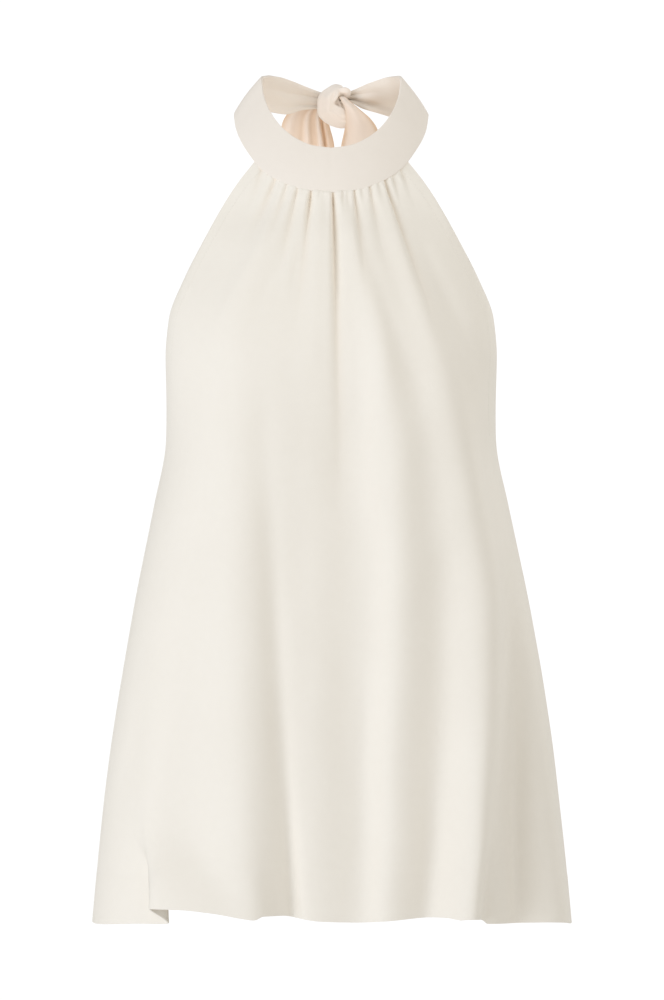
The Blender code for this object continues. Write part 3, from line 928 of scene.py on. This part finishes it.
class Finish:
    """A material under construction. Its node method makes any node it needs."""

    def __init__(self, name):
        self.material = bpy.data.materials.new(name)
        self.material.use_nodes = True
        self.tree = self.material.node_tree
        self.shader = self.tree.nodes["Principled BSDF"]
        self.place = self.node("ShaderNodeTexCoord", {}, {}, output=3)

    def node(self, kind, settings, sockets, output=0):
        made = self.tree.nodes.new(kind)
        for name, value in settings.items():
            setattr(made, name, value)
        for place, value in sockets.items():
            self.feed(made.inputs[place], value)
        return Number(self, made.outputs[output])

    def feed(self, socket, value):
        if isinstance(value, Number):
            self.tree.links.new(value.socket, socket)
        else:
            socket.default_value = value

    def surface(self, values):
        """Gives the shader's own sockets their values, and the finished material."""
        for place, value in values.items():
            self.feed(self.shader.inputs[place], value)
        return self.material

    def noise(self, size, detail=2.0):
        """Noise from about 0.3 to 0.7, whose blots are about so large, in millimetres."""
        sockets = {"Vector": self.place, "Scale": 1 / (size * MM), "Detail": detail}
        return self.node("ShaderNodeTexNoise", {}, sockets)

    def blend(self, share, low, high):
        """A colour between two others."""
        colours = [each if isinstance(each, Number) else (*each, 1) for each in (low, high)]
        sockets = {0: share, 6: colours[0], 7: colours[1]}
        return self.node("ShaderNodeMix", {"data_type": "RGBA"}, sockets, output=2)


def toned(colour, shares):
    """A colour with each of its channels multiplied by a share."""
    return tuple(channel * share for channel, share in zip(colour, shares))


def crepe(name, colour, shadow=WARM_SHADOW, woven=True):
    """Matt crepe: a fine pebbled grain over crossing threads, a trace uneven in tone, and shade
    painted in where its attribute says.
    """
    finish = Finish(name)
    grain = finish.noise(GRAIN_SIZE, detail=3.0)
    slub = finish.noise(SLUB_SIZE)
    cloud = finish.noise(CLOUD_SIZE)
    height = grain
    if woven:
        threads = finish.node("ShaderNodeUVMap", {"uv_map": "Threads"}, {})
        across, down = (
            finish.node("ShaderNodeSeparateXYZ", {}, {"Vector": threads}, output=axis)
            for axis in (0, 1)
        )
        pitch = 2 * math.pi / (THREAD_PITCH * MM)
        height = grain + 0.18 * ((across * pitch).sine() + (down * pitch).sine())
    tone = 0.5 * cloud + 0.3 * slub + 0.2 * grain
    even = finish.blend(tone, toned(colour, DULL_THREADS), colour)
    # Painted shade: the attribute read here says how far each point's colour is darkened towards
    # its shadow tone.
    depth = finish.node("ShaderNodeAttribute", {"attribute_name": "Depth"}, {}, output=2)
    relief = {"Strength": 0.35, "Distance": 0.12 * MM, "Height": height}
    return finish.surface(
        {
            "Base Color": finish.blend(depth, even, toned(colour, shadow)),
            "Roughness": 0.52 + 0.2 * grain,
            "Specular IOR Level": 0.32,
            "Sheen Weight": 0.15,
            "Sheen Roughness": 0.4,
            "Normal": finish.node("ShaderNodeBump", {}, relief),
        }
    )


def thread(name, colour):
    """Sewing thread: a fine twist along the stitch, with a slight gloss."""
    finish = Finish(name)
    twist = finish.noise(0.3)
    shaded = finish.blend(twist, toned(colour, (0.85, 0.85, 0.85)), colour)
    return finish.surface({"Base Color": shaded, "Roughness": 0.35 + 0.2 * twist})


def pale_floor(name):
    """A matt white studio floor with a trace of unevenness."""
    finish = Finish(name)
    tone = finish.blend(finish.noise(900), (0.88, 0.88, 0.87), (0.94, 0.94, 0.93))
    return finish.surface({"Base Color": tone, "Roughness": 0.8})


# Pieces


def panel(name, cloth, points, height, aside, depth=None):
    """A panel of the body: one layer of cloth, and two in its turned-up hem and its narrow one."""
    wall, hem, edge = (size / MM for size in (cloth.wall, cloth.hem_depth, cloth.edge_hem))
    turned = np.maximum(1 - ramp(height, hem - 2, hem), 1 - ramp(aside, edge - 1, edge))
    finish = bpy.data.materials.get("Ivory crepe") or crepe("Ivory crepe", cloth.body_colour)
    outside = points + normals(points) * wall / 2
    # Where depth is given, it is shade painted into the gathers.
    return laid_sheet(name, outside, finish, (1 + turned) * wall, depth)


def double_cloth(name, middle, wall, outer_painted_shade, inner_painted_shade, finish):
    """A sheet that is folded double round its middle surface, with so much painted shade on its
    outer and its inner face.
    """
    depth = all_round(outer_painted_shade, inner_painted_shade)
    return laid_sheet(name, doubled(middle, wall / MM), finish, depth=depth)


def dress(piece, node):
    """Puts a finished piece in place of its solid."""
    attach(piece, "root")
    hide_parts(node)


# Operators


class HALTER_OT_front_panel(bpy.types.Operator):
    """Lay the gathered front panel, with its folds and turned-up hem"""

    bl_idname = "halter.front_panel"
    bl_label = "Front Panel"

    def execute(self, context):
        cloth = context.scene.halter_cloth
        front = panel("front_panel_cloth", cloth, *front_sheet(**FRONT_GRID))
        dress(front, "front_panel")
        return {"FINISHED"}


class HALTER_OT_back_panel(bpy.types.Operator):
    """Lay the low back panel, with its folds, its narrow top hem and its turned-up hem"""

    bl_idname = "halter.back_panel"
    bl_label = "Back Panel"

    def execute(self, context):
        cloth = context.scene.halter_cloth
        back = panel("back_panel_cloth", cloth, *back_sheet(**BACK_GRID))
        dress(back, "back_panel")
        return {"FINISHED"}


class HALTER_OT_stitching(bpy.types.Operator):
    """Sew the armholes, the top of the back and the turned-up hem with rows of stitches"""

    bl_idname = "halter.stitching"
    bl_label = "Stitching"

    def execute(self, context):
        cloth = context.scene.halter_cloth
        finish = thread("Ivory thread", cloth.thread_colour)
        outside = 0.5 * cloth.wall / MM
        inside = -1.5 * cloth.wall / MM
        edge = cloth.edge_hem / MM - EDGE_STITCH_INSET
        turned = cloth.hem_depth / MM - HEM_STITCH_INSET
        points, height, aside, _ = front_sheet(**FRONT_GRID)
        out = normals(points)
        armhole = slice(1, FRONT_GRID["armhole_rows"] + 1)
        middle = FRONT_GRID["columns"] // 2
        rows = [
            stitch_line(edge, outside, *(grid[armhole, half] for grid in (aside, points, out)))
            for half in (slice(middle), slice(None, middle, -1))
        ]
        rows.append(stitch_line(turned, inside, *upward(height, points, out)))
        self.sew("front_stitching", rows, cloth, finish)
        points, height, below = back_sheet(**BACK_GRID)
        out = normals(points)
        rows = [
            stitch_line(edge, outside, *(grid.swapaxes(0, 1) for grid in (below, points, out))),
            stitch_line(turned, inside, *upward(height, points, out)),
        ]
        self.sew("back_stitching", rows, cloth, finish)
        return {"FINISHED"}

    def sew(self, name, rows, cloth, finish):
        length, thickness = cloth.stitch_length / MM, cloth.thread_thickness / MM
        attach(stitch_rows(name, rows, length, STITCH_GAP * length, thickness, finish), "root")


class HALTER_OT_neck_band(bpy.types.Operator):
    """Wrap the doubled neck band round the neck, pleated where it enters the knot"""

    bl_idname = "halter.neck_band"
    bl_label = "Neck Band"

    def execute(self, context):
        cloth = context.scene.halter_cloth
        # The band's colour has shade painted into it, a little darker and warmer than the body's.
        finish = crepe("Ivory crepe, doubled", cloth.band_shaded_colour, shadow=DEEP_SHADOW)
        middle, depth = band_sheet(**BAND_GRID)
        # Painted shade goes on the band's inside only; its outside has none.
        no_painted_shade = np.zeros_like(depth)
        band = double_cloth("neck_band_cloth", middle, cloth.band_wall, no_painted_shade, depth, finish)
        dress(band, "neck_band")
        return {"FINISHED"}


class HALTER_OT_tie_ends(bpy.types.Operator):
    """Hang the two tie ends from the knot"""

    bl_idname = "halter.tie_ends"
    bl_label = "Tie Ends"

    def execute(self, context):
        cloth = context.scene.halter_cloth
        # The ties' colour has warm shade painted into it.
        finish = crepe("Ivory crepe, tied", cloth.tie_shaded_colour)
        for side, tie in TIES.items():
            middle, depth = (grid.swapaxes(0, 1) for grid in tie_sheet(tie, **TIE_GRID))
            name = f"tie_end_{side}_cloth"
            piece = double_cloth(name, middle, cloth.tie_wall, depth, depth, finish)
            dress(piece, f"tie_end_{side}")
        return {"FINISHED"}


class HALTER_OT_knot(bpy.types.Operator):
    """Wind the wraps of the knot round each other and fuse them"""

    bl_idname = "halter.knot"
    bl_label = "Knot"

    def execute(self, context):
        cloth = context.scene.halter_cloth
        # The knot's colour has light painted into it, lighter than the body's.
        finish = crepe("Ivory crepe, knotted", cloth.knot_colour, woven=False)
        rolls = [
            laid_sheet(f"wrap_{name}", wrap_rings(wraps, phase=1.3 * number), finish)
            for number, (name, wraps) in enumerate(KNOT_WRAPS.items())
        ]
        bpy.ops.object.select_all(action="DESELECT")
        for roll in rolls:
            roll.select_set(True)
        bpy.context.view_layer.objects.active = rolls[0]
        bpy.ops.object.join()
        knot = bpy.context.object
        knot.name = knot.data.name = "tie_knot_cloth"
        fuse = knot.modifiers.new("Fuse", "REMESH")
        fuse.mode = "VOXEL"
        fuse.voxel_size = KNOT_VOXEL * MM
        soften = knot.modifiers.new("Soften", "SMOOTH")
        soften.iterations = SOFTENINGS
        apply_modifiers(knot)
        bpy.ops.object.shade_smooth()
        dress(knot, "tie_knot")
        return {"FINISHED"}


class HALTER_OT_studio(bpy.types.Operator):
    """Set up the floor, the soft studio light and the camera"""

    bl_idname = "halter.studio"
    bl_label = "Studio"

    def execute(self, context):
        studio = context.scene.halter_studio
        self.lay_floor(studio)
        self.light_room(context, studio)
        for name, lamp in LAMPS.items():
            self.hang_light(name, lamp, getattr(studio, f"{name}_power"))
        self.set_camera(context, studio)
        context.scene.view_settings.view_transform = "Standard"
        return {"FINISHED"}

    def lay_floor(self, studio):
        place = (0, 0, -studio.floor_drop)
        floor = added(bpy.ops.mesh.primitive_plane_add, size=FLOOR_SIDE, location=place)
        floor.name = "studio_floor"
        floor.data.materials.append(pale_floor("Studio floor"))

    def light_room(self, context, studio):
        """Even light from all round, in front of a plain white backdrop."""
        world = bpy.data.worlds.new("Studio")
        world.use_nodes = True
        tree = world.node_tree
        tree.nodes.clear()
        seen = tree.nodes.new("ShaderNodeLightPath").outputs["Is Camera Ray"]
        mix = tree.nodes.new("ShaderNodeMixShader")
        tree.links.new(seen, mix.inputs[0])
        lights = ((ROOM_COLOUR, studio.room_light), BACKDROP)
        for place, (colour, strength) in enumerate(lights, 1):
            light = tree.nodes.new("ShaderNodeBackground")
            light.inputs["Color"].default_value = colour
            light.inputs["Strength"].default_value = strength
            tree.links.new(light.outputs[0], mix.inputs[place])
        tree.links.new(mix.outputs[0], tree.nodes.new("ShaderNodeOutputWorld").inputs[0])
        context.scene.world = world

    def hang_light(self, name, lamp, watts):
        middle = Vector((0, 0, (CAD_BOX[0][2] + CAD_BOX[1][2]) / 2))
        target = KNOT_MIDDLE * MM if lamp.at_knot else middle
        light = added(bpy.ops.object.light_add, type="AREA", location=lamp.place)
        light.name = light.data.name = name.capitalize()
        light.data.shape = "DISK"
        light.data.size = lamp.size
        light.data.energy = watts
        light.data.color = lamp.colour
        light.rotation_euler = (target - Vector(lamp.place)).to_track_quat("-Z", "Y").to_euler()
        light.visible_camera = lamp.seen

    def set_camera(self, context, studio):
        place = (CAMERA_X, -studio.camera_distance, CAMERA_Z)
        level = (math.pi / 2, 0, 0)
        camera = added(bpy.ops.object.camera_add, location=place, rotation=level)
        camera.name = camera.data.name = "Camera"
        camera.data.sensor_width = FILM_WIDTH
        camera.data.lens = FILM_WIDTH * studio.camera_distance / studio.view_height
        context.scene.camera = camera


class HALTER_PT_pieces(bpy.types.Panel):
    """The pieces of the top, with their sizes and colours"""

    bl_idname = "HALTER_PT_pieces"
    bl_label = "Halter Neck Top"
    bl_space_type = "VIEW_3D"
    bl_region_type = "UI"
    bl_category = "Halter Top"

    def draw(self, context):
        for operator in OPERATORS:
            self.layout.operator(operator.bl_idname)
        for settings in (context.scene.halter_cloth, context.scene.halter_studio):
            box = self.layout.box()
            for name in type(settings).__annotations__:
                box.prop(settings, name)


OPERATORS = (
    HALTER_OT_front_panel,
    HALTER_OT_back_panel,
    HALTER_OT_stitching,
    HALTER_OT_neck_band,
    HALTER_OT_tie_ends,
    HALTER_OT_knot,
    HALTER_OT_studio,
)
CLASSES = (ClothSettings, StudioSettings, *OPERATORS, HALTER_PT_pieces)


def register():
    for each in CLASSES:
        bpy.utils.register_class(each)
    bpy.types.Scene.halter_cloth = bpy.props.PointerProperty(type=ClothSettings)
    bpy.types.Scene.halter_studio = bpy.props.PointerProperty(type=StudioSettings)


def unregister():
    del bpy.types.Scene.halter_studio
    del bpy.types.Scene.halter_cloth
    for each in reversed(CLASSES):
        bpy.utils.unregister_class(each)


def main():
    register()
    bpy.ops.halter.front_panel()
    bpy.ops.halter.back_panel()
    bpy.ops.halter.stitching()
    bpy.ops.halter.neck_band()
    bpy.ops.halter.tie_ends()
    bpy.ops.halter.knot()
    bpy.ops.halter.studio()


if __name__ == "__main__":
    main()
